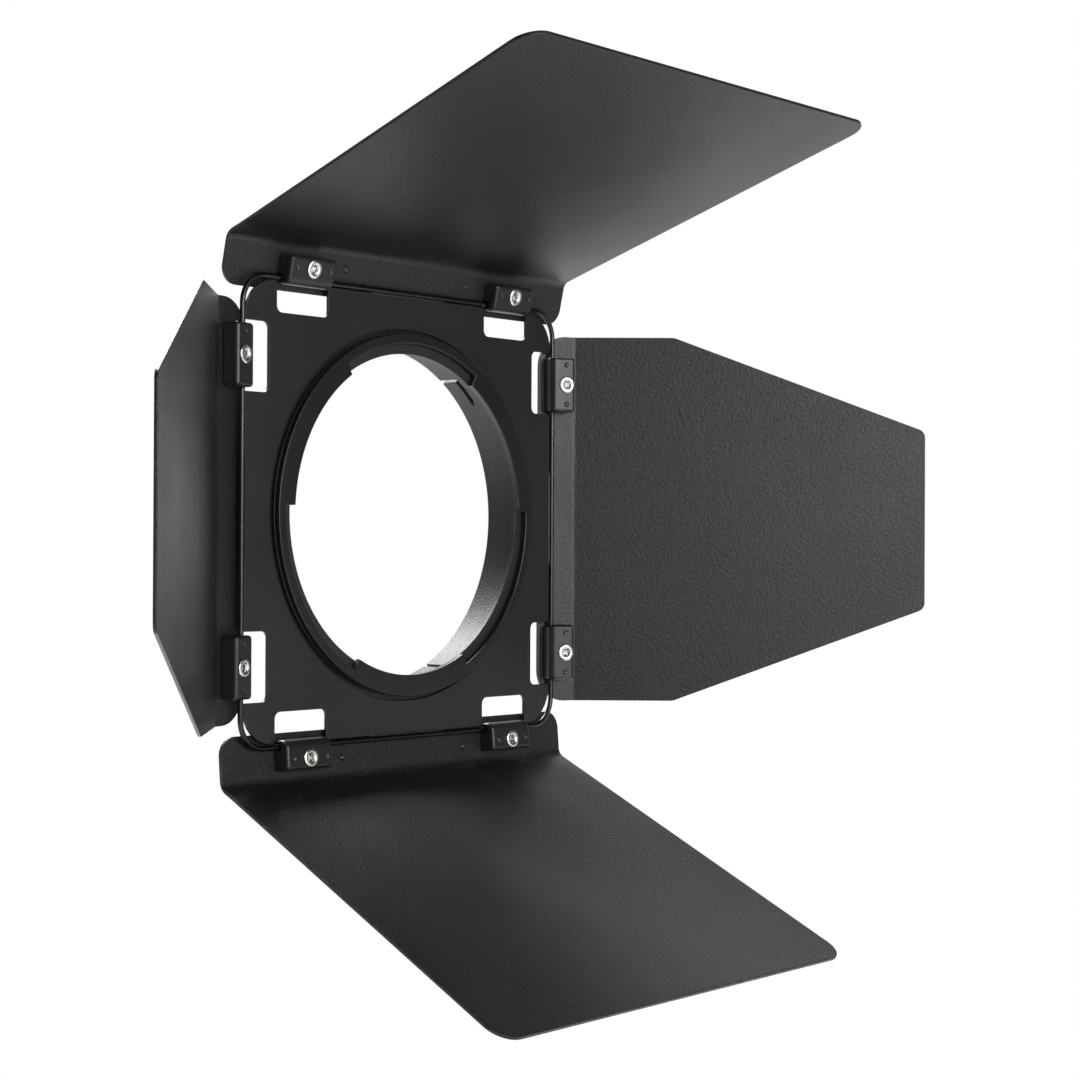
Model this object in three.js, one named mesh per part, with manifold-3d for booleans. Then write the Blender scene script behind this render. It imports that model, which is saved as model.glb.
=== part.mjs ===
// Four-leaf barn-door set for a studio lamp head, as separate solids.
// Millimetres, +Z up. The origin is the centre of the mount tube's rear rim, where the lamp's
// socket holds the set. Light leaves along -Y. Inside the head group, y is the depth behind
// the plate's front face.
import * as THREE from "three";
import { mergeVertices } from "three/addons/utils/BufferGeometryUtils.js";
import Module from "manifold-3d";

const wasm = await Module();
wasm.setup();

// Plate and hinge wire
const TUBE_REACH = 14.2; // plate's front face to the tube's rear rim
const PLATE_HALF = 65.8;
const PLATE_CORNER = 11;
const PLATE_SHEET = 1;
const PLATE_HOLE = 56;
const NOTCH = { centre: 43.75, width: 20, inner: 56.8, corner: 2 };
const HINGE_HALF = 66.8; // centre line of the hinge wire, level with the plate's front face
const WIRE_RADIUS = 0.8;
const WIRE_BEND = 8.5;
const WIRE_JOINT = { at: -43.5, gap: 0.6 };

// Mount tube, lug ring and the rings that hold the plate on the tube
const TUBE = { bore: 51.7, outer: 53.3, lip: 48.6, shoulder: 54.6 };
const LIP_FRONT = -0.2;
const LIP_BACK = 1;
const SHOULDER_BACK = 0.85;
const GROOVE = { radius: 52.8, front: 2.75, back: 3.85 };
const LUG_RING = { front: -2.2, back: -0.3, bore: 51.7, outer: 54.6, lugBore: 48.2 };
const LUG_CENTRES = [30, 150, 270];
const LUG_HALF_ANGLE = 27.5;
const SWIVEL_RING = { bore: 53.6, outer: 60, front: 1.1, back: 2.1 };
const WAVE_WASHER = { bore: 53.7, outer: 58, front: 2.25, back: 2.65 };
const SNAP_RING = { bore: 53, outer: 56.2, front: 2.85, back: 3.75, gap: 14 };
const SLOT = { entry: 55.5, travel: 11, width: 1.4, depth: 7.6, count: 3 };

// Hinge clips, friction pads and eyelets: u runs outward from the wire, v forward
const CLIP = { centre: 43.5, length: 17.8, sheet: 0.8, inner: -2, outer: 6.9, back: -1.45, face: 3.5 };
const CLIP_BEND = { inner: 2.6, outer: 1.2 };
const CLIP_WIRE_SLOT = 1.1; // half width
const PAD = { length: 14, inner: -0.9, outer: 5.7, back: 0, front: 2.4, bend: 1.5, groove: 1.1 };
const EYELET = { u: 3.6, bore: 0.85, barrel: 1.5, rim: 2.65, crest: 1.9 };
const EYELET_HEAD = { funnel: 2.9, seat: 3.6, shoulder: 3.85, top: 4.15 };
const EYELET_CLINCH = { rim: 2.4, seat: -2.85, back: -3.3 };
const EYELET_HOLE = 1.8;

// Leaves: a flange behind the wire, one bend, then the panel
const LEAF_SHEET = 1;
const FLANGE_FACE = -1.75;
const TAIL = 4;
const BEND_RADIUS = 3;
const SIDE_LEAF = {
  reach: 9.1,
  bend: 29,
  half: 59.6,
  tailCorner: 10,
  straight: 32.9,
  length: 115.3,
  farHalf: 29.1,
  farCorner: 3,
  elbow: 4,
};
const END_LEAF = {
  reach: 10,
  bend: 58.9,
  half: 72.5,
  tailCorner: 5.5,
  straight: 5,
  length: 120.5,
  farHalf: 76.6,
  farCorner: 7,
  elbow: 5,
};

// Turn is about +Y from the top. Open is the flange's angle in front of the plate's plane.
// The clips are named from +w to -w, w being the hinge axis.
const SIDES = [
  { name: "top", turn: 0, open: 12.6, leaf: END_LEAF, clips: ["right", "left"] },
  { name: "right", turn: 90, open: 21.2, leaf: SIDE_LEAF, clips: ["lower", "upper"] },
  { name: "bottom", turn: 180, open: 5, leaf: END_LEAF, clips: ["left", "right"] },
  { name: "left", turn: -90, open: 13.6, leaf: SIDE_LEAF, clips: ["upper", "lower"] },
];

// How finely curves are divided
const RIM_SEGMENTS = 72;
const SMALL_SEGMENTS = 14;
const CORNER_SEGMENTS = 5;
const CUT_MARGIN = 4; // how far a cutter runs past what it cuts

const FINISH = {
  leaf: { color: 0x1d1d1e, roughness: 0.55, metalness: 0.2 },
  plate: { color: 0x161617, roughness: 0.5, metalness: 0.2 },
  ring: { color: 0x141415, roughness: 0.4, metalness: 0.3 },
  clip: { color: 0x121213, roughness: 0.45, metalness: 0.3 },
  wire: { color: 0x0d0d0e, roughness: 0.35, metalness: 0.6 },
  spring: { color: 0x55554f, roughness: 0.4, metalness: 0.9 },
  eyelet: { color: 0xc9c9c6, roughness: 0.25, metalness: 1 },
  pad: { color: 0x2a2a28, roughness: 0.8, metalness: 0 },
};

const { cos, sin, tan, PI } = Math;
const radians = (degrees) => (degrees * PI) / 180;

// Solids and meshes

function solid(geometry) {
  const bare = geometry.clone();
  bare.deleteAttribute("normal");
  bare.deleteAttribute("uv");
  const merged = mergeVertices(bare, 1e-4);
  const vertProperties = new Float32Array(merged.attributes.position.array);
  const triVerts = new Uint32Array(merged.index.array);
  return new wasm.Manifold(new wasm.Mesh({ numProp: 3, vertProperties, triVerts }));
}

function geometryOf(manifold) {
  const made = manifold.getMesh();
  const geometry = new THREE.BufferGeometry();
  geometry.setAttribute("position", new THREE.BufferAttribute(made.vertProperties, 3));
  geometry.setIndex(new THREE.BufferAttribute(made.triVerts, 1));
  geometry.computeVertexNormals();
  return geometry;
}

function cut(geometry, cutters) {
  const whole = solid(geometry);
  return geometryOf(cutters.reduce((body, cutter) => body.subtract(solid(cutter)), whole));
}

function part(name, geometry, finish) {
  const mesh = new THREE.Mesh(geometry, new THREE.MeshStandardMaterial(FINISH[finish]));
  mesh.name = name;
  return mesh;
}

// Flat shapes and how they become solids

function annulus(bore, outer) {
  const shape = new THREE.Shape().absarc(0, 0, outer, 0, 2 * PI, false);
  shape.holes.push(new THREE.Path().absarc(0, 0, bore, 0, 2 * PI, true));
  return shape;
}

function sector(bore, outer, from, to) {
  const shape = new THREE.Shape();
  shape.absarc(0, 0, outer, radians(from), radians(to), false);
  shape.absarc(0, 0, bore, radians(to), radians(from), true);
  shape.closePath();
  return shape;
}

// A closed outline through corners [x, y, radius], radius being 0 where it is left out.
function roundedOutline(corners) {
  const shape = new THREE.Shape();
  corners.forEach(([x, y, radius = 0], i) => {
    const here = new THREE.Vector2(x, y);
    const [bx, by] = corners[(i + corners.length - 1) % corners.length];
    const [ax, ay] = corners[(i + 1) % corners.length];
    const back = new THREE.Vector2(bx, by).sub(here).normalize();
    const ahead = new THREE.Vector2(ax, ay).sub(here).normalize();
    if (radius > 0) roundCorner(shape, here, back, ahead, radius);
    else if (i === 0) shape.moveTo(x, y);
    else shape.lineTo(x, y);
  });
  shape.closePath();
  return shape;
}

function roundCorner(shape, corner, back, ahead, radius) {
  const half = Math.acos(back.dot(ahead)) / 2;
  const from = corner.clone().addScaledVector(back, radius / tan(half));
  const to = corner.clone().addScaledVector(ahead, radius / tan(half));
  const middle = back.clone().add(ahead).normalize();
  const centre = corner.clone().addScaledVector(middle, radius / sin(half));
  const start = Math.atan2(from.y - centre.y, from.x - centre.x);
  const end = Math.atan2(to.y - centre.y, to.x - centre.x);
  const clockwise = back.cross(ahead) > 0;
  shape.absarc(centre.x, centre.y, radius, start, end, clockwise);
}

// A shape in the XZ plane, made solid from y = front to y = back.
function slab(shape, front, back, curveSegments = RIM_SEGMENTS / 2) {
  const options = { depth: back - front, bevelEnabled: false, curveSegments };
  return new THREE.ExtrudeGeometry(shape, options).rotateX(PI / 2).translate(0, back, 0);
}

// A (u, v) section drawn out along the hinge axis.
function drawn(section, length, curveSegments = CORNER_SEGMENTS) {
  const options = { depth: length, bevelEnabled: false, curveSegments };
  const geometry = new THREE.ExtrudeGeometry(section, options).translate(0, 0, -length / 2);
  const u = new THREE.Vector3(0, 0, 1);
  const v = new THREE.Vector3(0, -1, 0);
  const w = new THREE.Vector3(1, 0, 0);
  return geometry.applyMatrix4(new THREE.Matrix4().makeBasis(u, v, w));
}

// A (w, s) outline made into a cutter square to the sheet, s running outward from u = start.
function sheetCutter(outline, bend, start) {
  const depth = 4 * CUT_MARGIN;
  const options = { depth, bevelEnabled: false, curveSegments: CORNER_SEGMENTS };
  const geometry = new THREE.ExtrudeGeometry(outline, options).translate(0, 0, -depth / 2);
  return geometry.rotateX(PI / 2 + radians(bend)).translate(0, -FLANGE_FACE, start);
}

function pin(radius, from, to, u, w = 0) {
  const geometry = new THREE.CylinderGeometry(radius, radius, to - from, SMALL_SEGMENTS);
  return geometry.translate(w, -(from + to) / 2, u);
}

// Plate: bore and eight edge notches

function frontPlate() {
  const h = PLATE_HALF;
  const r = PLATE_CORNER;
  const outline = roundedOutline([[-h, -h, r], [h, -h, r], [h, h, r], [-h, h, r]]);
  const hole = new THREE.CylinderGeometry(PLATE_HOLE, PLATE_HOLE, CUT_MARGIN, RIM_SEGMENTS);
  let plate = solid(slab(outline, 0, PLATE_SHEET, CORNER_SEGMENTS)).subtract(solid(hole));
  for (const { turn } of SIDES) {
    plate = plate.subtract(solid(notch(-NOTCH.centre).rotateY(radians(turn))));
    plate = plate.subtract(solid(notch(NOTCH.centre).rotateY(radians(turn))));
  }
  return part("front_plate", geometryOf(plate), "plate");
}

function notch(centre) {
  const from = centre - NOTCH.width / 2;
  const to = centre + NOTCH.width / 2;
  const clear = PLATE_HALF + CUT_MARGIN;
  const { inner, corner } = NOTCH;
  const outline = roundedOutline([[from, inner, corner], [to, inner, corner], [to, clear], [from, clear]]);
  return slab(outline, -CUT_MARGIN, CUT_MARGIN, CORNER_SEGMENTS);
}

// Hinge wire: one wire bent to a rounded square, its ends meeting inside a clip

class WireLoop extends THREE.Curve {
  constructor(points) {
    super();
    this.points = points;
  }

  getPoint(t, target = new THREE.Vector3()) {
    const place = t * (this.points.length - 1);
    const i = Math.min(Math.floor(place), this.points.length - 2);
    return target.lerpVectors(this.points[i], this.points[i + 1], place - i);
  }

  getPointAt(t, target) {
    return this.getPoint(t, target);
  }

  getTangentAt(t, target) {
    return this.getTangent(t, target);
  }
}

function hingeWire() {
  const straight = HINGE_HALF - WIRE_BEND;
  const points = [new THREE.Vector3(WIRE_JOINT.at + WIRE_JOINT.gap / 2, 0, -HINGE_HALF)];
  const centres = [[1, -1], [1, 1], [-1, 1], [-1, -1]];
  centres.forEach(([x, z], corner) => {
    for (let i = 0; i <= CORNER_SEGMENTS; i += 1) {
      const angle = ((corner - 1 + i / CORNER_SEGMENTS) * PI) / 2;
      const px = x * straight + WIRE_BEND * cos(angle);
      points.push(new THREE.Vector3(px, 0, z * straight + WIRE_BEND * sin(angle)));
    }
  });
  points.push(new THREE.Vector3(WIRE_JOINT.at - WIRE_JOINT.gap / 2, 0, -HINGE_HALF));
  const options = {
    steps: points.length - 1,
    extrudePath: new WireLoop(points),
    bevelEnabled: false,
    curveSegments: SMALL_SEGMENTS / 2,
  };
  const section = new THREE.Shape().absarc(0, 0, WIRE_RADIUS, 0, 2 * PI, false);
  return part("hinge_wire", new THREE.ExtrudeGeometry(section, options), "wire");
}

// Mount tube: inward lip at the front, outer shoulder, snap-ring groove, bayonet slots

function mountTube() {
  const profile = [
    [TUBE.lip, LIP_FRONT],
    [TUBE.shoulder, LIP_FRONT],
    [TUBE.shoulder, SHOULDER_BACK],
    [TUBE.outer, SHOULDER_BACK],
    [TUBE.outer, GROOVE.front],
    [GROOVE.radius, GROOVE.front],
    [GROOVE.radius, GROOVE.back],
    [TUBE.outer, GROOVE.back],
    [TUBE.outer, TUBE_REACH],
    [TUBE.bore, TUBE_REACH],
    [TUBE.bore, LIP_BACK],
    [TUBE.lip, LIP_BACK],
    [TUBE.lip, LIP_FRONT],
  ].map(([r, y]) => new THREE.Vector2(r, y));
  const cutters = [];
  for (let i = 0; i < SLOT.count; i += 1) {
    const turn = (i * 360) / SLOT.count;
    cutters.push(slotEntry(turn), slotRun(turn));
  }
  return part("mount_tube", cut(new THREE.LatheGeometry(profile, RIM_SEGMENTS), cutters), "ring");
}

function slotEntry(turn) {
  const from = SLOT.depth - SLOT.width / 2;
  const length = TUBE_REACH + CUT_MARGIN - from;
  return new THREE.BoxGeometry(2 * CUT_MARGIN, length, SLOT.width)
    .translate(TUBE.outer, from + length / 2, 0)
    .rotateY(-radians(SLOT.entry + turn));
}

function slotRun(turn) {
  const edge = (SLOT.width / 2 / TUBE.outer) * (180 / PI);
  const from = SLOT.entry + turn - SLOT.travel - edge;
  const to = SLOT.entry + turn + edge;
  const outline = sector(TUBE.bore - CUT_MARGIN, TUBE.outer + CUT_MARGIN, from, to);
  return slab(outline, SLOT.depth - SLOT.width / 2, SLOT.depth + SLOT.width / 2, CORNER_SEGMENTS);
}

function lugRing() {
  const { front, back, bore, outer, lugBore } = LUG_RING;
  const recesses = LUG_CENTRES.map((centre) => {
    const from = centre + LUG_HALF_ANGLE;
    const to = centre + 360 / LUG_CENTRES.length - LUG_HALF_ANGLE;
    const outline = sector(lugBore - CUT_MARGIN, bore, from, to);
    return slab(outline, front - CUT_MARGIN, back + CUT_MARGIN, CORNER_SEGMENTS);
  });
  return part("lug_ring", cut(slab(annulus(lugBore, outer), front, back), recesses), "ring");
}

function snapRing() {
  const { bore, outer, front, back, gap } = SNAP_RING;
  const shape = sector(bore, outer, 270 + gap / 2, 630 - gap / 2);
  return part("snap_ring", slab(shape, front, back), "spring");
}

function flatRing(name, { bore, outer, front, back }, finish) {
  return part(name, slab(annulus(bore, outer), front, back), finish);
}

// Leaves

function leafSheet(leaf) {
  const width = 2 * (Math.max(leaf.half, leaf.farHalf) + CUT_MARGIN);
  const holes = [-CLIP.centre, CLIP.centre].map((w) => eyeletHole(w));
  const trimmers = [
    sheetCutter(tailTrim(leaf, width), 0, 0),
    sheetCutter(panelTrim(leaf, width), leaf.bend, leaf.reach),
  ];
  return cut(drawn(leafSection(leaf), width), [...trimmers, ...holes]);
}

function leafSection({ reach, bend, length }) {
  const angle = radians(bend);
  const start = -TAIL - CUT_MARGIN / 2;
  const reached = length + CUT_MARGIN / 2;
  const back = FLANGE_FACE - LEAF_SHEET;
  const bendAt = reach - BEND_RADIUS * tan(angle / 2);
  const centre = FLANGE_FACE + BEND_RADIUS;
  const end = [reach + reached * cos(angle), FLANGE_FACE + reached * sin(angle)];
  const section = new THREE.Shape();
  section.moveTo(start, back);
  section.absarc(bendAt, centre, BEND_RADIUS + LEAF_SHEET, -PI / 2, -PI / 2 + angle, false);
  section.lineTo(end[0] + LEAF_SHEET * sin(angle), end[1] - LEAF_SHEET * cos(angle));
  section.lineTo(end[0], end[1]);
  section.absarc(bendAt, centre, BEND_RADIUS, -PI / 2 + angle, -PI / 2, true);
  section.lineTo(start, FLANGE_FACE);
  section.closePath();
  return section;
}

function tailTrim({ reach, half, tailCorner }, width) {
  return roundedOutline([
    [-width, reach],
    [-half, reach],
    [-half, -TAIL, tailCorner],
    [half, -TAIL, tailCorner],
    [half, reach],
    [width, reach],
    [width, -TAIL - CUT_MARGIN],
    [-width, -TAIL - CUT_MARGIN],
  ]);
}

function panelTrim({ half, straight, elbow, length, farHalf, farCorner }, width) {
  return roundedOutline([
    [-width, -CUT_MARGIN],
    [-half, -CUT_MARGIN],
    [-half, straight, elbow],
    [-farHalf, length, farCorner],
    [farHalf, length, farCorner],
    [half, straight, elbow],
    [half, -CUT_MARGIN],
    [width, -CUT_MARGIN],
    [width, length + CUT_MARGIN],
    [-width, length + CUT_MARGIN],
  ]);
}

// Hinge clip: a drawn cap over the wire, its end walls slotted for the wire to pass

function hingeClip() {
  const { inner, outer, back, face, sheet, length } = CLIP;
  const cap = roundedOutline([
    [inner, back],
    [inner, face, CLIP_BEND.inner],
    [outer, face, CLIP_BEND.outer],
    [outer, back],
  ]);
  const hollow = roundedOutline([
    [inner + sheet, back - CUT_MARGIN],
    [inner + sheet, face - sheet, CLIP_BEND.inner - sheet],
    [outer - sheet, face - sheet, CLIP_BEND.outer - sheet],
    [outer - sheet, back - CUT_MARGIN],
  ]);
  const slotSide = new THREE.BoxGeometry(length + CUT_MARGIN, CUT_MARGIN, 2 * CLIP_WIRE_SLOT);
  const cutters = [
    drawn(hollow, length - 2 * sheet, 3),
    alongWire(CLIP_WIRE_SLOT),
    slotSide.translate(0, CUT_MARGIN / 2, 0),
    eyeletHole(),
  ];
  return cut(drawn(cap, length, 3), cutters);
}

function frictionPad() {
  const { inner, outer, back, front, bend, groove, length } = PAD;
  const section = roundedOutline([[inner, back], [inner, front, bend], [outer, front], [outer, back]]);
  return cut(drawn(section, length, 3), [alongWire(groove), eyeletHole()]);
}

function alongWire(radius) {
  const length = CLIP.length + CUT_MARGIN;
  return new THREE.CylinderGeometry(radius, radius, length, SMALL_SEGMENTS).rotateZ(PI / 2);
}

function eyeletHole(w = 0) {
  return pin(EYELET_HOLE, FLANGE_FACE - CUT_MARGIN, CLIP.face + CUT_MARGIN, EYELET.u, w);
}

// A hollow rivet through clip, pad and flange, rolled over at the front and clinched behind
function eyelet() {
  const { bore, barrel, rim, crest, u } = EYELET;
  const profile = [
    [bore, EYELET_CLINCH.back],
    [EYELET_CLINCH.rim, EYELET_CLINCH.back],
    [EYELET_CLINCH.rim, EYELET_CLINCH.seat],
    [barrel, EYELET_CLINCH.seat],
    [barrel, EYELET_HEAD.seat],
    [rim, EYELET_HEAD.seat],
    [rim, EYELET_HEAD.shoulder],
    [crest, EYELET_HEAD.top],
    [bore, EYELET_HEAD.funnel],
    [bore, EYELET_CLINCH.back],
  ].map(([r, v]) => new THREE.Vector2(r, v));
  const turned = new THREE.LatheGeometry(profile, SMALL_SEGMENTS);
  return turned.rotateX(PI).translate(0, 0, u);
}

// Each door hangs on the wire: its leaf, and two clips with their pads and eyelets

function door({ name, turn, open, leaf, clips }) {
  const hinge = new THREE.Group();
  hinge.position.z = HINGE_HALF;
  hinge.rotation.x = radians(open);
  hinge.add(part(`${name}_leaf`, leafSheet(leaf), "leaf"));
  clips.forEach((end, i) => {
    const fixing = new THREE.Group();
    fixing.position.x = i === 0 ? CLIP.centre : -CLIP.centre;
    fixing.add(part(`hinge_clip_${name}_${end}`, hingeClip(), "clip"));
    fixing.add(part(`friction_pad_${name}_${end}`, frictionPad(), "pad"));
    fixing.add(part(`eyelet_rivet_${name}_${end}`, eyelet(), "eyelet"));
    hinge.add(fixing);
  });
  const side = new THREE.Group();
  side.rotation.y = radians(turn);
  side.add(hinge);
  return side;
}

const head = new THREE.Group();
head.position.y = -TUBE_REACH;
head.add(mountTube(), lugRing(), snapRing(), frontPlate(), hingeWire());
head.add(flatRing("swivel_ring", SWIVEL_RING, "ring"));
head.add(flatRing("wave_washer", WAVE_WASHER, "spring"));
SIDES.forEach((side) => head.add(door(side)));

const barnDoors = new THREE.Group();
barnDoors.add(head);
export default barnDoors;
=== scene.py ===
"""Barn-door set for a studio lamp: detailed pieces, materials, light and camera over the CAD frame."""

import math

import bpy
import bmesh
from mathutils import Matrix, Vector, geometry


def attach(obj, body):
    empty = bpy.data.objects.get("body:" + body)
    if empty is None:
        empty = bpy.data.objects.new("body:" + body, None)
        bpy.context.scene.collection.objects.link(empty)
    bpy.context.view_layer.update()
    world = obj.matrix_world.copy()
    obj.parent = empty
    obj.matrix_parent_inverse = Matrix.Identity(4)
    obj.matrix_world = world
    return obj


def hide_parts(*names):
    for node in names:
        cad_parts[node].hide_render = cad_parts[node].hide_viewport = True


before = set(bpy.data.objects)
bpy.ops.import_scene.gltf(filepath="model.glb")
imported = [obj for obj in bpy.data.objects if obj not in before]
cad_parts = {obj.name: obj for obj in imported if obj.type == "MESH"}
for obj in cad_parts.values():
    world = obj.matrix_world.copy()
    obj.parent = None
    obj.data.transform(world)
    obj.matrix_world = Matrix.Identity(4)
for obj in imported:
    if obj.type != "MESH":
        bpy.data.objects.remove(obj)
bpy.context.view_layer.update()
MM = 0.001

# ---------------------------------------------------------------- sizes, in millimetres
TUBE_REACH = 14.2
PLATE_HALF = 65.8
PLATE_CORNER = 11.0
PLATE_SHEET = 1.0
PLATE_HOLE = 56.0
NOTCH_CENTRE, NOTCH_WIDTH, NOTCH_INNER, NOTCH_CORNER = 43.75, 20.0, 56.8, 2.0
HINGE_HALF = 66.8
WIRE_RADIUS = 0.8
WIRE_BEND = 8.5
WIRE_JOINT_AT, WIRE_JOINT_GAP = -43.5, 0.6
WELD_HALF, WELD_RADIUS, WELD_DEPTH = 16.0, 0.5, 0.35
FLANGE_FACE = -1.75
TAIL = 4.0
LEAF_SHEET = 1.0
BEND_RADIUS = 3.0
CLIP_CENTRE, CLIP_LENGTH, CLIP_SHEET = 43.5, 17.8, 0.8
CLIP_INNER, CLIP_OUTER, CLIP_BACK, CLIP_FACE = -2.0, 6.9, -1.45, 3.5
CLIP_INNER_BEND, CLIP_OUTER_BEND, CLIP_END_BEND, CLIP_WIRE_SLOT = 2.6, 1.2, 1.0, 1.1
DIMPLE_W, DIMPLE_RADIUS, DIMPLE_DEPTH = 6.4, 0.95, 0.28
PUNCH_W, PUNCH_U, PUNCH_RADIUS, PUNCH_DEPTH = 26.0, 4.6, 1.15, 0.7
EYELET_U = 3.6
EYELET_HOLE = 1.8
LUG_CENTRES = (30, 150, 270)
LUG_HALF_ANGLE = 27.5
SLOT_ENTRY, SLOT_TRAVEL, SLOT_WIDTH, SLOT_DEPTH = 55.5, 11.0, 1.4, 7.6
TUBE_BORE, TUBE_OUTER, TUBE_LIP, TUBE_SHOULDER = 51.7, 53.3, 48.6, 54.6
TUBE_FRONT, TUBE_EDGE = -0.15, 0.3
TUBE_SEAM, TUBE_FACETS = 190.0, 180
LUG_INNER, LUG_RECESS, LUG_OUTER, LUG_STEP_ANGLE = 48.2, 51.7, 54.6, 0.4
LUG_SHEET, LUG_FRONT = 1.9, -2.2
WASHER_WAVES, WASHER_WAVE_HEIGHT = 6, 0.07
SNAP_START, SNAP_END = 277, 623

# Half sections turned about the optical axis: (radius, depth behind the plate's front face).
TUBE_LIP_SECTION = (
    (TUBE_LIP + 0.2, -0.2), (TUBE_SHOULDER - 0.2, -0.2), (TUBE_SHOULDER, 0.0), (TUBE_SHOULDER, 0.65),
    (TUBE_SHOULDER - 0.2, 0.85), (TUBE_BORE, 0.85), (TUBE_BORE, 1.0), (TUBE_LIP + 0.2, 1.0),
    (TUBE_LIP, 0.8), (TUBE_LIP, 0.0),
)
SWIVEL_SECTION = (
    (53.6, 1.2), (53.7, 1.1), (59.8, 1.1), (60.0, 1.3),
    (60.0, 1.9), (59.8, 2.1), (53.8, 2.1), (53.6, 1.9),
)
WASHER_SECTION = ((53.7, 2.33), (58.0, 2.33), (58.0, 2.57), (53.7, 2.57))
SNAP_SECTION = (
    (53.0, 2.95), (53.1, 2.85), (56.1, 2.85), (56.2, 2.95),
    (56.2, 3.65), (56.1, 3.75), (53.1, 3.75), (53.0, 3.65),
)
# The eyelet's half section: (radius, height above the hinge axis), from the clinch to the funnel.
EYELET_SECTION = (
    (0.95, -3.2), (1.1, -3.3), (2.1, -3.3), (2.36, -3.2), (2.4, -3.05), (2.3, -2.85), (1.5, -2.85),
    (1.5, 3.6), (2.45, 3.6), (2.6, 3.66), (2.65, 3.78), (2.6, 3.94), (2.4, 4.06), (2.15, 4.13),
    (1.9, 4.15), (1.65, 4.1), (1.4, 3.98), (1.2, 3.8), (1.06, 3.55), (0.98, 3.2), (0.95, 2.8),
)

SIDE_LEAF = dict(reach=9.1, bend=29.0, half=59.6, tail_corner=10.0, straight=32.9, length=115.3,
                 far_half=29.1, far_corner=3.0, elbow=4.0, punched=())
END_LEAF = dict(reach=10.0, bend=58.9, half=72.5, tail_corner=5.5, straight=5.0, length=120.5,
                far_half=76.6, far_corner=7.0, elbow=5.0, punched=(-PUNCH_W, PUNCH_W))
SIDES = (
    dict(name="top", turn=0, open=12.6, leaf=END_LEAF, clips=("right", "left")),
    dict(name="right", turn=90, open=21.2, leaf=SIDE_LEAF, clips=("lower", "upper")),
    dict(name="bottom", turn=180, open=5.0, leaf=END_LEAF, clips=("left", "right")),
    dict(name="left", turn=-90, open=13.6, leaf=SIDE_LEAF, clips=("upper", "lower")),
)

# ---------------------------------------------------------------- studio, in metres
CAMERA_AT = (-0.4711, -0.4709, -0.0112)
CAMERA_YAW, CAMERA_PITCH, CAMERA_ROLL = -49.37, 0.337, -0.276
CAMERA_LENS, CAMERA_SENSOR = 72.2, 36.0
FLOOR_LEVEL = -0.30
FLOOR_RADII, FLOOR_SIDES = (1.0, 3.0, 6.0, 12.0), 64
FLOOR_DARK, FLOOR_LIGHT = (0.62, 0.62, 0.62), (0.64, 0.64, 0.64)
WHITE_WALL_AIM, WHITE_WALL_BAND, CEILING_BAND = (0.76, 0.65, 0.0), (0.4, 0.97), (0.1, 0.75)
ROOM_GLOW, WHITE_WALL_GLOW, CEILING_SHARE = 0.04, 1.4, 0.4
# name, place, target, width, height, watts
LIGHTS = (
    ("key_front", (0.12, -1.5, 0.28), (0, 0, 0), 0.35, 0.7, 8.5),
    ("table_soft", (0.62, 0.55, 2.0), (0.75, 0.6, -0.3), 0.8, 0.8, 72),
    ("camera_side", (-0.7, -1.55, 0.3), (0.05, -0.05, 0), 0.5, 0.5, 11),
    ("behind_high", (0.0, 0.9, 1.05), (0, 0, 0), 0.6, 0.4, 1.6),
    ("behind_table", (0.1, 0.5, 0.6), (0.1, 0.35, -0.3), 0.4, 0.4, 12),
    ("back_left_card", (-1.2, 1.5, 0.0), (0, 0, 0), 1.4, 1.2, 3.5),
)

HEAD = Matrix.Translation((0, -TUBE_REACH, 0))


def door_matrix(side):
    """Leaf-local (w, -v, u) to the head: hinge angle about the wire, then the side's turn."""
    hinge = Matrix.Translation((0, 0, HINGE_HALF)) @ Matrix.Rotation(math.radians(side["open"]), 4, "X")
    return HEAD @ Matrix.Rotation(math.radians(side["turn"]), 4, "Y") @ hinge


# ---------------------------------------------------------------- outlines
def arc(cx, cy, radius, start, end, steps):
    """Points along an arc, angles in degrees, both ends included."""
    angles = [math.radians(start + (end - start) * i / steps) for i in range(steps + 1)]
    return [(cx + radius * math.cos(a), cy + radius * math.sin(a)) for a in angles]


def circle(radius, steps=128, cx=0.0, cy=0.0):
    return arc(cx, cy, radius, 0, 360, steps)[:-1]


def rounded(corners, steps=8):
    """Closed outline through corners (x, y, radius)."""
    points = []
    for i, (x, y, radius) in enumerate(corners):
        here = Vector((x, y))
        back = (Vector(corners[i - 1][:2]) - here).normalized()
        ahead = (Vector(corners[(i + 1) % len(corners)][:2]) - here).normalized()
        if radius <= 0:
            points.append((x, y))
            continue
        half = back.angle(ahead) / 2
        centre = here + (back + ahead).normalized() * radius / math.sin(half)
        first = here + back * radius / math.tan(half) - centre
        sweep = math.pi - 2 * half
        if back.x * ahead.y - back.y * ahead.x > 0:
            sweep = -sweep
        start = math.degrees(math.atan2(first.y, first.x))
        points += arc(centre.x, centre.y, radius, start, start + math.degrees(sweep), steps)
    return points


def area(loop):
    return sum(a[0] * b[1] - b[0] * a[1] for a, b in zip(loop, loop[1:] + loop[:1])) / 2


def inset(loop, distance):
    """The loop moved to its left by distance, corners mitred."""
    moved = []
    for i, here in enumerate(loop):
        before = Vector(here) - Vector(loop[i - 1])
        after = Vector(loop[(i + 1) % len(loop)]) - Vector(here)
        n0 = Vector((-before.y, before.x)).normalized()
        n1 = Vector((-after.y, after.x)).normalized()
        middle = (n0 + n1).normalized()
        moved.append(tuple(Vector(here) + middle * distance / max(middle.dot(n0), 0.3)))
    return moved


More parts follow.
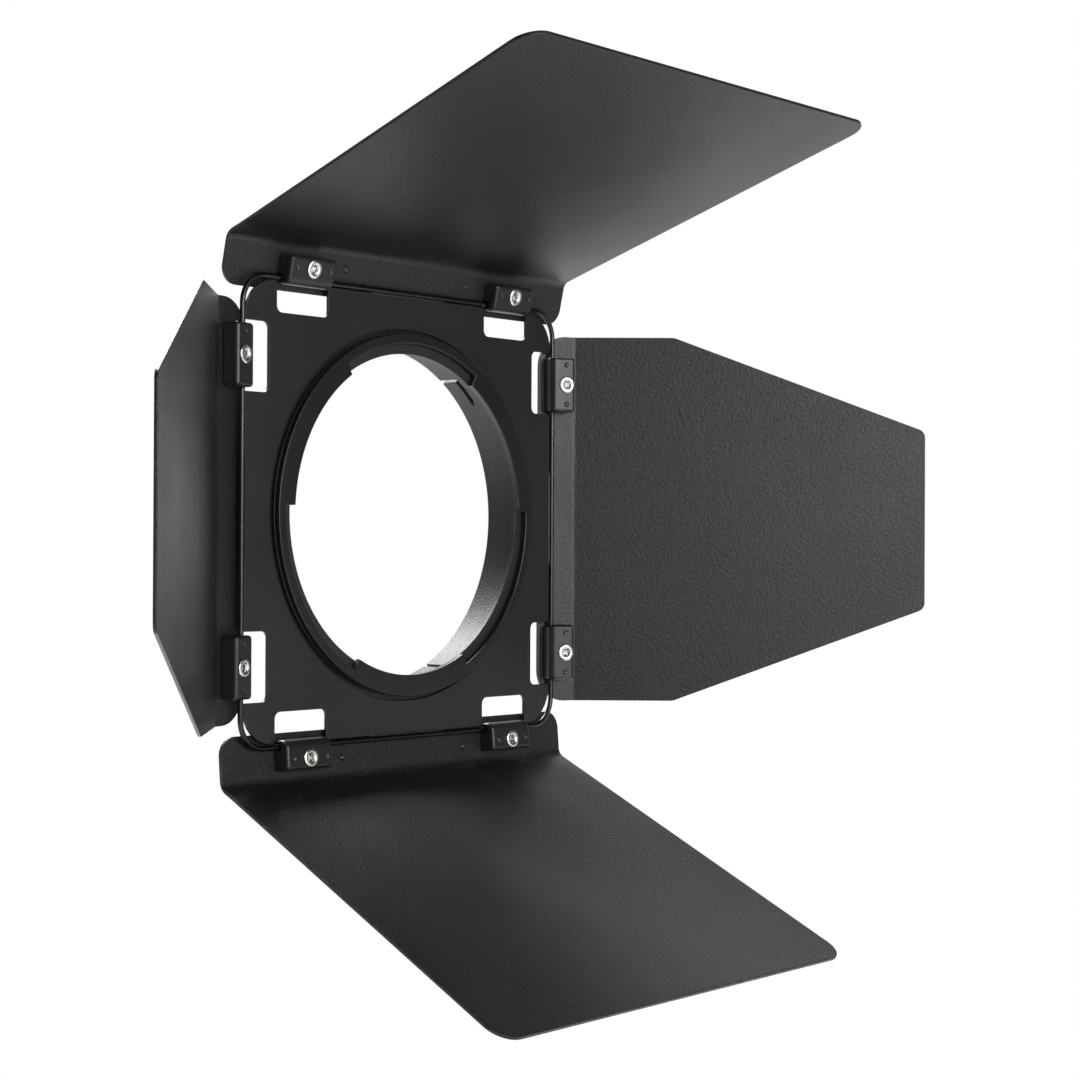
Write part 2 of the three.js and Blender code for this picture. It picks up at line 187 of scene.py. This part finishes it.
# ---------------------------------------------------------------- mesh building
def sheet(outer, holes, thickness, edge=0.22, steps=2):
    """A flat sheet with rounded edges: (x, y) from the outlines, z from 0 at the front to thickness."""
    loops = [outer if area(outer) > 0 else outer[::-1]]
    loops += [hole if area(hole) < 0 else hole[::-1] for hole in holes]
    quarter = [math.pi / 2 * i / steps for i in range(steps + 1)]
    front = [(edge * (1 - math.sin(a)), edge * (1 - math.cos(a))) for a in quarter]
    profile = front + [(inward, thickness - depth) for inward, depth in reversed(front)]
    bm = bmesh.new()
    caps = ([], [])
    for loop in loops:
        rings = []
        for inward, depth in profile:
            rings.append([bm.verts.new((x, y, depth)) for x, y in inset(loop, inward)])
        for low, high in zip(rings, rings[1:]):
            for i in range(len(loop)):
                bm.faces.new((low[i - 1], low[i], high[i], high[i - 1]))
        caps[0].append(rings[0])
        caps[1].append(rings[-1])
    for rings in caps:
        flat = [vert for ring in rings for vert in ring]
        for triangle in geometry.tessellate_polygon([[v.co.copy() for v in ring] for ring in rings]):
            bm.faces.new([flat[i] for i in triangle])
    bmesh.ops.dissolve_limit(bm, angle_limit=0.001, verts=bm.verts, edges=bm.edges, delimit=set())
    bmesh.ops.recalc_face_normals(bm, faces=bm.faces)
    return bm


class BendPath:
    """A line of straights and bends in (u, v), measured along the sheet's visible face."""

    def __init__(self, corners, steps=8):
        self.rows = []
        points = [Vector(c[:2]) for c in corners]
        length = 0.0
        self._row(length, points[0], (points[1] - points[0]).normalized())
        last = points[0]
        for i in range(1, len(points) - 1):
            d0 = (points[i] - points[i - 1]).normalized()
            d1 = (points[i + 1] - points[i]).normalized()
            radius = corners[i][2]
            turn = math.atan2(d0.x * d1.y - d0.y * d1.x, d0.dot(d1))
            tangent = radius * math.tan(abs(turn) / 2)
            start = points[i] - d0 * tangent
            side = math.copysign(1, turn)
            centre = start + Vector((-d0.y, d0.x)) * radius * side
            length += (start - last).length
            for k in range(steps + 1):
                spin = Matrix.Rotation(turn * k / steps, 2)
                along = length + radius * abs(turn) * k / steps
                self._row(along, centre + spin @ (start - centre), spin @ d0)
            length += radius * abs(turn)
            last = points[i] + d1 * tangent
        length += (points[-1] - last).length
        self._row(length, points[-1], (points[-1] - points[-2]).normalized())
        self.length = length

    def _row(self, s, point, direction):
        self.rows.append((s, point.copy(), Vector((direction.y, -direction.x))))

    def place(self, s, depth):
        """(u, v) of the point s along the face and depth behind it."""
        rows = self.rows
        i = 0
        while i < len(rows) - 2 and s > rows[i + 1][0]:
            i += 1
        (s0, p0, n0), (s1, p1, n1) = rows[i], rows[i + 1]
        t = (s - s0) / (s1 - s0)
        return p0.lerp(p1, t) + n0.lerp(n1, t).normalized() * depth


def bend(bm, path):
    """Bends a flat sheet whose y runs along path and whose x is the bend axis; gives (w, -v, u)."""
    for s, _, _ in path.rows[1:-1]:
        split(bm, (0, s, 0), (0, 1, 0))
    for vert in bm.verts:
        u, v = path.place(vert.co.y, vert.co.z)
        vert.co = (vert.co.x, -v, u)
    bmesh.ops.recalc_face_normals(bm, faces=bm.faces)
    return bm


def split(bm, place, normal):
    """A new row of edges where the plane crosses the mesh."""
    everything = bm.verts[:] + bm.edges[:] + bm.faces[:]
    bmesh.ops.bisect_plane(bm, geom=everything, plane_co=place, plane_no=normal, dist=1e-5)


def lathe(profile, steps=160, start=0.0, end=360.0):
    """Closed profile of (radius, y) turned about +Y; a part turn has flat ends."""
    whole = end - start >= 360
    count = steps if whole else steps + 1
    bm = bmesh.new()
    rings = []
    for i in range(count):
        a = math.radians(start + (end - start) * i / steps)
        rings.append([bm.verts.new((r * math.cos(a), y, r * math.sin(a))) for r, y in profile])
    pairs = list(zip(rings, rings[1:])) + ([(rings[-1], rings[0])] if whole else [])
    for here, there in pairs:
        for k in range(len(profile)):
            bm.faces.new((here[k - 1], here[k], there[k], there[k - 1]))
    if not whole:
        bm.faces.new(rings[0])
        bm.faces.new(rings[-1][::-1])
    bmesh.ops.recalc_face_normals(bm, faces=bm.faces)
    return bm


def joined(*parts):
    """One mesh from several, which are used up."""
    whole = bmesh.new()
    for bm in parts:
        mesh = bpy.data.meshes.new("part")
        bm.to_mesh(mesh)
        whole.from_mesh(mesh)
        bpy.data.meshes.remove(mesh)
        bm.free()
    return whole


def temporary(bm):
    """A passing object for a cut to read."""
    mesh = bpy.data.meshes.new("temporary")
    bm.to_mesh(mesh)
    bm.free()
    obj = bpy.data.objects.new("temporary", mesh)
    bpy.context.scene.collection.objects.link(obj)
    return obj


def carved(bm, *cutters):
    """The solid less the cutters."""
    body = temporary(bm)
    tools = [temporary(cutter) for cutter in cutters]
    for tool in tools:
        cut = body.modifiers.new("cut", "BOOLEAN")
        cut.operation = "DIFFERENCE"
        cut.solver = "EXACT"
        cut.object = tool
    whole = bmesh.new()
    whole.from_mesh(body.evaluated_get(bpy.context.evaluated_depsgraph_get()).to_mesh())
    for obj in (body, *tools):
        bpy.data.meshes.remove(obj.data)
    return whole


def along_wire(outline, length, edge=0.02, steps=1):
    """A (u, v) outline made solid along the hinge axis, centred; gives (w, -v, u)."""
    bm = sheet(outline, [], length, edge, steps)
    for vert in bm.verts:
        vert.co = (vert.co.z - length / 2, -vert.co.y, vert.co.x)
    bmesh.ops.recalc_face_normals(bm, faces=bm.faces)
    return bm


def punch(radius, depth, w, u, v):
    """A cutter for a round dimple pressed into the face at height v."""
    profile = [(0.001, -1.0), (0.001, depth), (radius * 0.45, depth * 0.85), (radius * 0.8, depth * 0.42),
               (radius, 0.0), (radius, -1.0)]
    bm = lathe(profile, 24)
    bmesh.ops.translate(bm, vec=(w, -v, u), verts=bm.verts)
    return bm


def stood(bm):
    """A flat (x, y, depth) sheet stood up in the XZ plane with depth along +Y."""
    for vert in bm.verts:
        vert.co = (vert.co.x, vert.co.z, vert.co.y)
    bmesh.ops.recalc_face_normals(bm, faces=bm.faces)
    return bm


def piece(name, bm, matrix, body, material, nodes, smooth=32):
    """A finished mesh in metres, riding on a CAD body in place of the CAD nodes."""
    bmesh.ops.transform(bm, matrix=Matrix.Scale(MM, 4) @ matrix, verts=bm.verts)
    mesh = bpy.data.meshes.new(name)
    bm.to_mesh(mesh)
    bm.free()
    mesh.materials.append(material)
    mesh.shade_smooth()
    mesh.set_sharp_from_angle(angle=math.radians(smooth))
    obj = bpy.data.objects.new(name, mesh)
    bpy.context.scene.collection.objects.link(obj)
    even = obj.modifiers.new("even_normals", "WEIGHTED_NORMAL")
    even.keep_sharp = True
    even.weight = 100
    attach(obj, body)
    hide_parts(*nodes)
    return obj


# ---------------------------------------------------------------- materials
def material(name):
    made = bpy.data.materials.new(name)
    made.use_nodes = True
    tree = made.node_tree
    return made, tree, tree.nodes["Principled BSDF"]


def noise(tree, scale, detail, roughness=0.5):
    coords = tree.nodes.new("ShaderNodeTexCoord")
    node = tree.nodes.new("ShaderNodeTexNoise")
    node.inputs["Scale"].default_value = scale
    node.inputs["Detail"].default_value = detail
    node.inputs["Roughness"].default_value = roughness
    tree.links.new(coords.outputs["Object"], node.inputs["Vector"])
    return node.outputs["Fac"]


def spread(tree, source, low, high):
    node = tree.nodes.new("ShaderNodeMapRange")
    node.inputs["From Min"].default_value = 0.3
    node.inputs["From Max"].default_value = 0.7
    node.inputs["To Min"].default_value = low
    node.inputs["To Max"].default_value = high
    tree.links.new(source, node.inputs["Value"])
    return node.outputs["Result"]


def tint(tree, source, dark, light):
    node = tree.nodes.new("ShaderNodeValToRGB")
    node.color_ramp.elements[0].position = 0.3
    node.color_ramp.elements[1].position = 0.7
    node.color_ramp.elements[0].color = (*dark, 1)
    node.color_ramp.elements[1].color = (*light, 1)
    tree.links.new(source, node.inputs["Fac"])
    return node.outputs["Color"]


def bump(tree, shader, source, strength, distance, under=None):
    node = tree.nodes.new("ShaderNodeBump")
    node.inputs["Strength"].default_value = strength
    node.inputs["Distance"].default_value = distance
    tree.links.new(source, node.inputs["Height"])
    if under is not None:
        tree.links.new(under, node.inputs["Normal"])
    tree.links.new(node.outputs["Normal"], shader.inputs["Normal"])
    return node.outputs["Normal"]


def powder_coat(name, shade, rough, grain, depth, mottle):
    """Fine-textured black powder coat: pebbled surface, slightly uneven colour and gloss."""
    made, tree, shader = material(name)
    shader.inputs["Specular IOR Level"].default_value = 0.5
    pebbles = noise(tree, grain, 3, 0.6)
    patches = noise(tree, 35, 3)
    dark = tuple(c * (1 - mottle) for c in shade)
    light = tuple(c * (1 + mottle) for c in shade)
    tree.links.new(tint(tree, pebbles, dark, light), shader.inputs["Base Color"])
    tree.links.new(spread(tree, patches, rough - 0.03, rough + 0.03), shader.inputs["Roughness"])
    fine = bump(tree, shader, noise(tree, grain * 2.6, 2), 0.25, depth * 0.4)
    bump(tree, shader, pebbles, 0.6, depth, fine)
    return made


def bare_metal(name, colour, rough, scratch, grain=900):
    made, tree, shader = material(name)
    shader.inputs["Metallic"].default_value = 1.0
    lines = noise(tree, grain, 4, 0.6)
    dark = tuple(c * 0.82 for c in colour)
    tree.links.new(tint(tree, lines, dark, colour), shader.inputs["Base Color"])
    tree.links.new(spread(tree, noise(tree, 250, 3), rough - 0.05, rough + 0.06), shader.inputs["Roughness"])
    bump(tree, shader, lines, scratch, 0.00002)
    return made


LEAF_PAINT = powder_coat("leaf_powder_coat", (0.010, 0.010, 0.010), 0.40, 1200, 0.00021, 0.8)
PLATE_PAINT = powder_coat("plate_powder_coat", (0.011, 0.011, 0.0112), 0.40, 1500, 0.00005, 0.2)
RING_PAINT = powder_coat("ring_satin_black", (0.010, 0.010, 0.0102), 0.33, 1800, 0.00003, 0.15)
TUBE_PAINT = powder_coat("tube_satin_black", (0.011, 0.011, 0.0112), 0.50, 1300, 0.00012, 0.3)
CLIP_PAINT = powder_coat("clip_powder_coat", (0.013, 0.013, 0.0132), 0.35, 1500, 0.00004, 0.2)
WIRE_BLACK = bare_metal("black_oxide_wire", (0.055, 0.055, 0.054), 0.30, 0.01, 2400)
NICKEL = bare_metal("bright_nickel", (0.90, 0.89, 0.86), 0.27, 0.05)
SPRING = bare_metal("dark_spring_steel", (0.14, 0.135, 0.13), 0.34, 0.3, 1400)
FIBRE = powder_coat("friction_fibre", (0.016, 0.015, 0.014), 0.85, 2500, 0.00012, 0.4)


# ---------------------------------------------------------------- leaves
def leaf_path(leaf):
    beta = math.radians(leaf["bend"])
    end = (leaf["reach"] + leaf["length"] * math.cos(beta), FLANGE_FACE + leaf["length"] * math.sin(beta))
    return BendPath([(-TAIL, FLANGE_FACE, 0), (leaf["reach"], FLANGE_FACE, BEND_RADIUS), (*end, 0)], 14)


def leaf_outline(leaf, path):
    """The leaf's flat pattern: x across, y from the flange's tail to the far edge."""
    beta = math.radians(leaf["bend"])
    tangent = BEND_RADIUS * math.tan(beta / 2)
    fold = TAIL + leaf["reach"] - 2 * tangent + BEND_RADIUS * beta
    half, far = leaf["half"], leaf["far_half"]
    straight = fold + leaf["straight"]
    return rounded([
        (-half, 0, leaf["tail_corner"]),
        (half, 0, leaf["tail_corner"]),
        (half, straight, leaf["elbow"]),
        (far, path.length, leaf["far_corner"]),
        (-far, path.length, leaf["far_corner"]),
        (-half, straight, leaf["elbow"]),
    ], 12)


def add_leaf(side):
    """One bent sheet leaf with its eyelet holes and pressed marks."""
    leaf = side["leaf"]
    path = leaf_path(leaf)
    holes = [circle(EYELET_HOLE, 28, w, TAIL + EYELET_U) for w in (-CLIP_CENTRE, CLIP_CENTRE)]
    bm = bend(sheet(leaf_outline(leaf, path), holes, LEAF_SHEET), path)
    punches = [punch(PUNCH_RADIUS, PUNCH_DEPTH, w, PUNCH_U, FLANGE_FACE) for w in leaf["punched"]]
    if punches:
        bm = carved(bm, *punches)
    name = f"{side['name']}_leaf"
    piece(f"{name}_sheet", bm, door_matrix(side), f"{side['name']}_door", LEAF_PAINT, [name])


# ---------------------------------------------------------------- hinge clips, pads and eyelets
def cap_outline(wall, base):
    """The clip's section, moved in by wall."""
    return rounded([
        (CLIP_INNER + wall, base, 0),
        (CLIP_OUTER - wall, base, 0),
        (CLIP_OUTER - wall, CLIP_FACE - wall, CLIP_OUTER_BEND - wall),
        (CLIP_INNER + wall, CLIP_FACE - wall, CLIP_INNER_BEND - wall),
    ], 8)


def clip_mesh():
    """A drawn cap: rounded edges, hollow, its end walls slotted for the wire."""
    deep = CLIP_BACK - 4
    cap = along_wire(cap_outline(0, deep), CLIP_LENGTH, CLIP_END_BEND, 5)
    hollow = along_wire(cap_outline(CLIP_SHEET, deep - 1), CLIP_LENGTH - 2 * CLIP_SHEET, 0.3, 2)
    base = along_wire([(-20, -20), (20, -20), (20, CLIP_BACK), (-20, CLIP_BACK)], 2 * CLIP_LENGTH)
    half, end_radius = CLIP_WIRE_SLOT, CLIP_WIRE_SLOT - 0.05
    slot = along_wire(rounded([
        (-half, deep, 0), (half, deep, 0), (half, half, end_radius), (-half, half, end_radius),
    ], 6), 2 * CLIP_LENGTH)
    hole = lathe([(0.001, -9), (EYELET_HOLE, -9), (EYELET_HOLE, 9), (0.001, 9)], 28)
    bmesh.ops.translate(hole, vec=(0, 0, EYELET_U), verts=hole.verts)
    dimples = [punch(DIMPLE_RADIUS, DIMPLE_DEPTH, w, EYELET_U, CLIP_FACE) for w in (-DIMPLE_W, DIMPLE_W)]
    return carved(cap, hollow, base, slot, hole, *dimples)


def eyelet_mesh():
    """A hollow rivet: rolled head, funnel bore, clinched behind the flange."""
    bm = lathe([(r, -v) for r, v in EYELET_SECTION], 48)
    bmesh.ops.translate(bm, vec=(0, 0, EYELET_U), verts=bm.verts)
    return bm


def add_hinge(side):
    """Two clips and two eyelets for one leaf; the pads inside keep their own shape."""
    body = f"{side['name']}_door"
    for end, w in zip(side["clips"], (CLIP_CENTRE, -CLIP_CENTRE)):
        tag = f"{side['name']}_{end}"
        place = door_matrix(side) @ Matrix.Translation((w, 0, 0))
        piece(f"clip_{tag}", clip_mesh(), place, body, CLIP_PAINT, [f"hinge_clip_{tag}"])
        piece(f"eyelet_{tag}", eyelet_mesh(), place, body, NICKEL, [f"eyelet_rivet_{tag}"])
        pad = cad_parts[f"friction_pad_{tag}"]
        pad.data.materials.clear()
        pad.data.materials.append(FIBRE)


# ---------------------------------------------------------------- plate and wire
def plate_outline():
    """Rounded square with two notches in each side."""
    low = NOTCH_CENTRE - NOTCH_WIDTH / 2
    high = NOTCH_CENTRE + NOTCH_WIDTH / 2
    corners = []
    for turn in range(4):
        side = [
            (-PLATE_HALF, PLATE_HALF, PLATE_CORNER),
            (-high, PLATE_HALF, 0.5), (-high, NOTCH_INNER, NOTCH_CORNER),
            (-low, NOTCH_INNER, NOTCH_CORNER), (-low, PLATE_HALF, 0.5),
            (low, PLATE_HALF, 0.5), (low, NOTCH_INNER, NOTCH_CORNER),
            (high, NOTCH_INNER, NOTCH_CORNER), (high, PLATE_HALF, 0.5),
        ]
        spin = Matrix.Rotation(-turn * math.pi / 2, 2)
        corners += [(*(spin @ Vector((x, y))), r) for x, y, r in side]
    return rounded(corners, 8)


def weld_bead(turn):
    """A low bead along the middle of one side, between the plate's edge and the wire."""
    shoulder = WELD_RADIUS * 0.6
    profile = [(0.02, -WELD_HALF), (shoulder, 0.6 - WELD_HALF), (WELD_RADIUS, 2 - WELD_HALF),
               (WELD_RADIUS, WELD_HALF - 2), (shoulder, WELD_HALF - 0.6), (0.02, WELD_HALF)]
    bm = lathe(profile, 12)
    place = Matrix.Rotation(math.radians(turn), 4, "Y") @ Matrix.Translation((0, WELD_DEPTH, PLATE_HALF))
    bmesh.ops.transform(bm, matrix=place @ Matrix.Rotation(math.pi / 2, 4, "Z"), verts=bm.verts)
    return bm


def add_plate():
    """The notched square plate with a bead at the middle of each side."""
    bm = stood(sheet(plate_outline(), [circle(PLATE_HOLE, 160)], PLATE_SHEET))
    bm = joined(bm, *(weld_bead(turn) for turn in (0, 90, 180, 270)))
    piece("plate_sheet", bm, HEAD, "plate", PLATE_PAINT, ["front_plate"])


def add_wire():
    """The round wire, bent to a rounded square on the hinge axes, with its ends nearly meeting."""
    straight = HINGE_HALF - WIRE_BEND
    middle = [(WIRE_JOINT_AT + WIRE_JOINT_GAP / 2, -HINGE_HALF)]
    for i, (x, z) in enumerate(((1, -1), (1, 1), (-1, 1), (-1, -1))):
        middle += arc(x * straight, z * straight, WIRE_BEND, 90 * i - 90, 90 * i, 16)
    middle.append((WIRE_JOINT_AT - WIRE_JOINT_GAP / 2, -HINGE_HALF))
    bm = bmesh.new()
    rings = []
    for i, (x, z) in enumerate(middle):
        a = Vector(middle[max(i - 1, 0)])
        b = Vector(middle[min(i + 1, len(middle) - 1)])
        out = Vector(((b - a).y, -(b - a).x)).normalized()
        ring = []
        for k in range(16):
            angle = 2 * math.pi * k / 16
            across = out * WIRE_RADIUS * math.cos(angle)
            ring.append(bm.verts.new((x + across.x, WIRE_RADIUS * math.sin(angle), z + across.y)))
        rings.append(ring)
    for here, there in zip(rings, rings[1:]):
        for k in range(16):
            bm.faces.new((here[k - 1], here[k], there[k], there[k - 1]))
    bm.faces.new(rings[0])
    bm.faces.new(rings[-1][::-1])
    bmesh.ops.recalc_face_normals(bm, faces=bm.faces)
    piece("wire_loop", bm, HEAD, "plate", WIRE_BLACK, ["hinge_wire"])


# ---------------------------------------------------------------- mount tube and rings
def tube_pattern():
    """The wall's flat strip, open at the bayonet slots, with its length and the radius it wraps to."""
    middle = (TUBE_BORE + TUBE_OUTER) / 2
    length = 2 * math.pi * middle
    per_degree = length / 360
    half = SLOT_WIDTH / 2
    entries = [(SLOT_ENTRY + turn - TUBE_SEAM) % 360 * per_degree for turn in (120, 0, -120)]
    outline = [(0, TUBE_FRONT, 0), (length, TUBE_FRONT, 0), (length, TUBE_REACH, 0)]
    for entry in sorted(entries, reverse=True):
        run_end = entry - SLOT_TRAVEL * per_degree - half
        outline += [
            (entry + half, TUBE_REACH, 0.6), (entry + half, SLOT_DEPTH - half, 0.6),
            (run_end, SLOT_DEPTH - half, 0.6), (run_end, SLOT_DEPTH + half, 0.6),
            (entry - half, SLOT_DEPTH + half, 0.4), (entry - half, TUBE_REACH, 0.6),
        ]
    outline.append((0, TUBE_REACH, 0))
    return rounded(outline, 6), length, middle


def add_tube():
    """The slotted wall, wrapped round the bore from its flat strip, and the lip in front of it."""
    outline, length, middle = tube_pattern()
    bm = sheet(outline, [], TUBE_OUTER - TUBE_BORE, TUBE_EDGE)
    for k in range(1, TUBE_FACETS):
        split(bm, (length * k / TUBE_FACETS, 0, 0), (1, 0, 0))
    for vert in bm.verts:
        angle = math.radians(TUBE_SEAM) + vert.co.x / middle
        radius = TUBE_BORE + vert.co.z
        vert.co = (radius * math.cos(angle), vert.co.y, radius * math.sin(angle))
    bmesh.ops.recalc_face_normals(bm, faces=bm.faces)
    whole = joined(bm, lathe(TUBE_LIP_SECTION))
    piece("tube_wall", whole, HEAD, "mount", TUBE_PAINT, ["mount_tube"])


def add_rings():
    """The lugged front ring, the ring the plate turns on, and the two springs that hold the plate."""
    inside = []
    recess_angle = 360 / len(LUG_CENTRES) - 2 * LUG_HALF_ANGLE
    for centre in LUG_CENTRES:
        start, end = centre - LUG_HALF_ANGLE, centre + LUG_HALF_ANGLE
        inside += arc(0, 0, LUG_INNER, start, end, 28)
        inside += arc(0, 0, LUG_RECESS, end + LUG_STEP_ANGLE, end + recess_angle - LUG_STEP_ANGLE, 28)
    bm = stood(sheet(circle(LUG_OUTER, 160), [inside], LUG_SHEET, 0.3, 3))
    bmesh.ops.translate(bm, vec=(0, LUG_FRONT, 0), verts=bm.verts)
    piece("lug_ring_face", bm, HEAD, "mount", RING_PAINT, ["lug_ring"])

    swivel = lathe(SWIVEL_SECTION)
    piece("swivel_ring_face", swivel, HEAD, "plate", RING_PAINT, ["swivel_ring"])

    washer = lathe(WASHER_SECTION, 180)
    for vert in washer.verts:
        vert.co.y += WASHER_WAVE_HEIGHT * math.sin(WASHER_WAVES * math.atan2(vert.co.z, vert.co.x))
    piece("wave_washer_spring", washer, HEAD, "mount", SPRING, ["wave_washer"])

    snap = lathe(SNAP_SECTION, 170, SNAP_START, SNAP_END)
    piece("snap_ring_spring", snap, HEAD, "mount", SPRING, ["snap_ring"])


# ---------------------------------------------------------------- studio
def aimed(obj, target):
    direction = Vector(target) - obj.location
    obj.rotation_euler = direction.to_track_quat("-Z", "Y").to_euler()


def add_light(name, location, target, width, height, watts):
    data = bpy.data.lights.new(name, "AREA")
    data.shape = "RECTANGLE"
    data.size, data.size_y = width, height
    data.energy = watts
    lamp = bpy.data.objects.new(name, data)
    lamp.location = location
    aimed(lamp, target)
    bpy.context.scene.collection.objects.link(lamp)


def add_camera():
    """Three-quarter view from the front left, level with the plate."""
    yaw, pitch, roll = (math.radians(a) for a in (CAMERA_YAW, CAMERA_PITCH, CAMERA_ROLL))
    turn = Matrix.Rotation(yaw, 3, "Z") @ Matrix.Rotation(pitch, 3, "X") @ Matrix.Rotation(roll, 3, "Y")
    right, forward, up = turn.col[0], turn.col[1], turn.col[2]
    data = bpy.data.cameras.new("camera")
    data.lens = CAMERA_LENS
    data.sensor_width = CAMERA_SENSOR
    camera = bpy.data.objects.new("camera", data)
    basis = Matrix((right, up, -forward)).transposed()
    camera.matrix_world = Matrix.Translation(CAMERA_AT) @ basis.to_4x4()
    bpy.context.scene.collection.objects.link(camera)
    bpy.context.scene.camera = camera


def add_floor():
    """A broad round floor, plain and pale; the camera sees it as pure white."""
    bm = bmesh.new()
    centre = bm.verts.new((0, 0, FLOOR_LEVEL))
    rings = []
    for radius in FLOOR_RADII:
        rings.append([bm.verts.new((x, y, FLOOR_LEVEL)) for x, y in circle(radius, FLOOR_SIDES)])
    for i in range(FLOOR_SIDES):
        bm.faces.new((centre, rings[0][i - 1], rings[0][i]))
        for low, high in zip(rings, rings[1:]):
            bm.faces.new((low[i], low[i - 1], high[i - 1], high[i]))
    mesh = bpy.data.meshes.new("floor")
    bm.to_mesh(mesh)
    bm.free()
    made, tree, shader = material("white_sweep")
    tree.links.new(tint(tree, noise(tree, 8, 2), FLOOR_DARK, FLOOR_LIGHT), shader.inputs["Base Color"])
    shader.inputs["Roughness"].default_value = 0.9
    output = tree.nodes["Material Output"]
    seen = tree.nodes.new("ShaderNodeLightPath")
    glow = tree.nodes.new("ShaderNodeEmission")
    glow.inputs["Color"].default_value = (1, 1, 1, 1)
    glow.inputs["Strength"].default_value = 1.0
    mix = tree.nodes.new("ShaderNodeMixShader")
    tree.links.new(seen.outputs["Is Camera Ray"], mix.inputs[0])
    tree.links.new(shader.outputs[0], mix.inputs[1])
    tree.links.new(glow.outputs[0], mix.inputs[2])
    tree.links.new(mix.outputs[0], output.inputs["Surface"])
    mesh.materials.append(made)
    floor = bpy.data.objects.new("floor", mesh)
    bpy.context.scene.collection.objects.link(floor)


def world_ramp(tree, source, start, end, low, high):
    node = tree.nodes.new("ShaderNodeMapRange")
    node.interpolation_type = "SMOOTHSTEP"
    node.inputs["From Min"].default_value = start
    node.inputs["From Max"].default_value = end
    node.inputs["To Min"].default_value = low
    node.inputs["To Max"].default_value = high
    tree.links.new(source, node.inputs["Value"])
    return node.outputs["Result"]


def add_world():
    """A white wall behind the set that falls off to a dark room round the camera and overhead."""
    world = bpy.data.worlds.new("studio")
    world.use_nodes = True
    bpy.context.scene.world = world
    tree = world.node_tree
    background = tree.nodes["Background"]
    coords = tree.nodes.new("ShaderNodeTexCoord")
    dot = tree.nodes.new("ShaderNodeVectorMath")
    dot.operation = "DOT_PRODUCT"
    dot.inputs[1].default_value = WHITE_WALL_AIM
    tree.links.new(coords.outputs["Generated"], dot.inputs[0])
    height = tree.nodes.new("ShaderNodeSeparateXYZ")
    tree.links.new(coords.outputs["Generated"], height.inputs[0])
    wall = world_ramp(tree, dot.outputs["Value"], *WHITE_WALL_BAND, ROOM_GLOW, WHITE_WALL_GLOW)
    fade = world_ramp(tree, height.outputs["Z"], *CEILING_BAND, 1.0, CEILING_SHARE)
    glow = tree.nodes.new("ShaderNodeMath")
    glow.operation = "MULTIPLY"
    tree.links.new(wall, glow.inputs[0])
    tree.links.new(fade, glow.inputs[1])
    seen = tree.nodes.new("ShaderNodeLightPath")
    mix = tree.nodes.new("ShaderNodeMix")
    mix.data_type = "FLOAT"
    tree.links.new(seen.outputs["Is Camera Ray"], mix.inputs["Factor"])
    tree.links.new(glow.outputs[0], mix.inputs["A"])
    mix.inputs["B"].default_value = 1.0
    background.inputs["Color"].default_value = (1, 1, 1, 1)
    tree.links.new(mix.outputs["Result"], background.inputs["Strength"])


def add_studio():
    add_world()
    add_floor()
    for light in LIGHTS:
        add_light(*light)
    bpy.context.scene.view_settings.view_transform = "Standard"


for each_side in SIDES:
    add_leaf(each_side)
    add_hinge(each_side)
add_plate()
add_wire()
add_tube()
add_rings()
add_camera()
add_studio()
